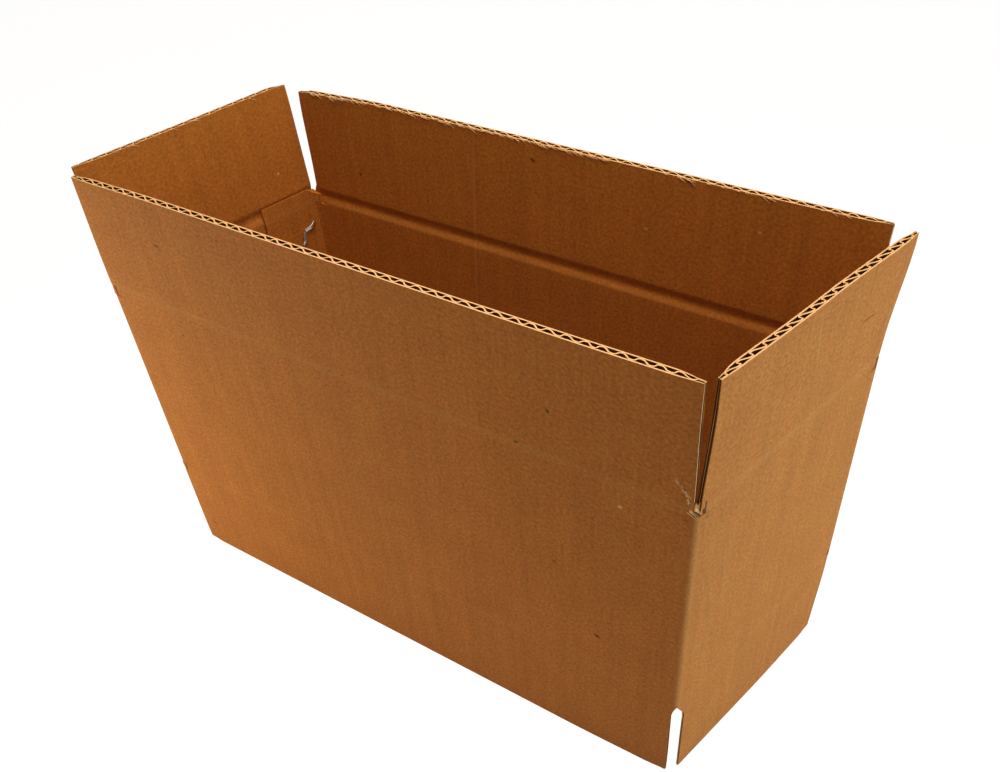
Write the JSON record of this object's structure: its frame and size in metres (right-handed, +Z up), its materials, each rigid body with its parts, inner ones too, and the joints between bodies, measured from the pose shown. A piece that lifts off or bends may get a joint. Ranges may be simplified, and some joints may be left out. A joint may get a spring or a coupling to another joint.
{
  "type": "cardboard box",
  "caption": "Open slotted shipping box of brown corrugated board, standing on its unfolded bottom flaps with its top flaps up.",
  "frame": {"origin": "on the floor, under the middle of the box", "axes": "+X along the front panel towards the plain end, +Y from the front panel to the back, +Z up"},
  "size_m": [0.3974, 0.1372, 0.2891],
  "materials": {
    "kraft_board": "matt brown kraft liner",
    "stitch_wire": "galvanised flat wire"
  },
  "bodies": {
    "tube": {"box_tube": "kraft_board", "wire_stitches": "stitch_wire"},
    "front_top_flap": {"front_top_flap": "kraft_board"},
    "front_bottom_flap": {"front_bottom_flap": "kraft_board"},
    "right_top_flap": {"right_top_flap": "kraft_board"},
    "right_bottom_flap": {"right_bottom_flap": "kraft_board"},
    "back_top_flap": {"back_top_flap": "kraft_board"},
    "back_bottom_flap": {"back_bottom_flap": "kraft_board"},
    "left_top_flap": {"left_top_flap": "kraft_board"},
    "left_bottom_flap": {"left_bottom_flap": "kraft_board"}
  },
  "joints": [
    {"name": "front_top_crease", "type": "hinge", "parent": "tube", "child": "front_top_flap", "pos_m": [-0.01812, -0.06761, 0.219], "axis": [1, 0, 0], "range_deg": [0, 170]},
    {"name": "front_bottom_crease", "type": "hinge", "parent": "tube", "child": "front_bottom_flap", "pos_m": [-0.01812, -0.06761, 0.07], "axis": [-1, 0, 0], "range_deg": [0, 170]},
    {"name": "right_top_crease", "type": "hinge", "parent": "tube", "child": "right_top_flap", "pos_m": [0.178, 0, 0.219], "axis": [0.2588, 0.9659, 0], "range_deg": [-1.2, 168.8]},
    {"name": "right_bottom_crease", "type": "hinge", "parent": "tube", "child": "right_bottom_flap", "pos_m": [0.178, 0, 0.07], "axis": [-0.2588, -0.9659, 0], "range_deg": [0, 170]},
    {"name": "back_top_crease", "type": "hinge", "parent": "tube", "child": "back_top_flap", "pos_m": [0.01812, 0.06761, 0.219], "axis": [-1, 0, 0], "range_deg": [-1.6, 168.4]},
    {"name": "back_bottom_crease", "type": "hinge", "parent": "tube", "child": "back_bottom_flap", "pos_m": [0.01812, 0.06761, 0.07], "axis": [1, 0, 0], "range_deg": [0, 170]},
    {"name": "left_top_crease", "type": "hinge", "parent": "tube", "child": "left_top_flap", "pos_m": [-0.178, 0, 0.219], "axis": [-0.2588, -0.9659, 0], "range_deg": [-5, 165]},
    {"name": "left_bottom_crease", "type": "hinge", "parent": "tube", "child": "left_bottom_flap", "pos_m": [-0.178, 0, 0.07], "axis": [0.2588, 0.9659, 0], "range_deg": [0, 170]}
  ]
}
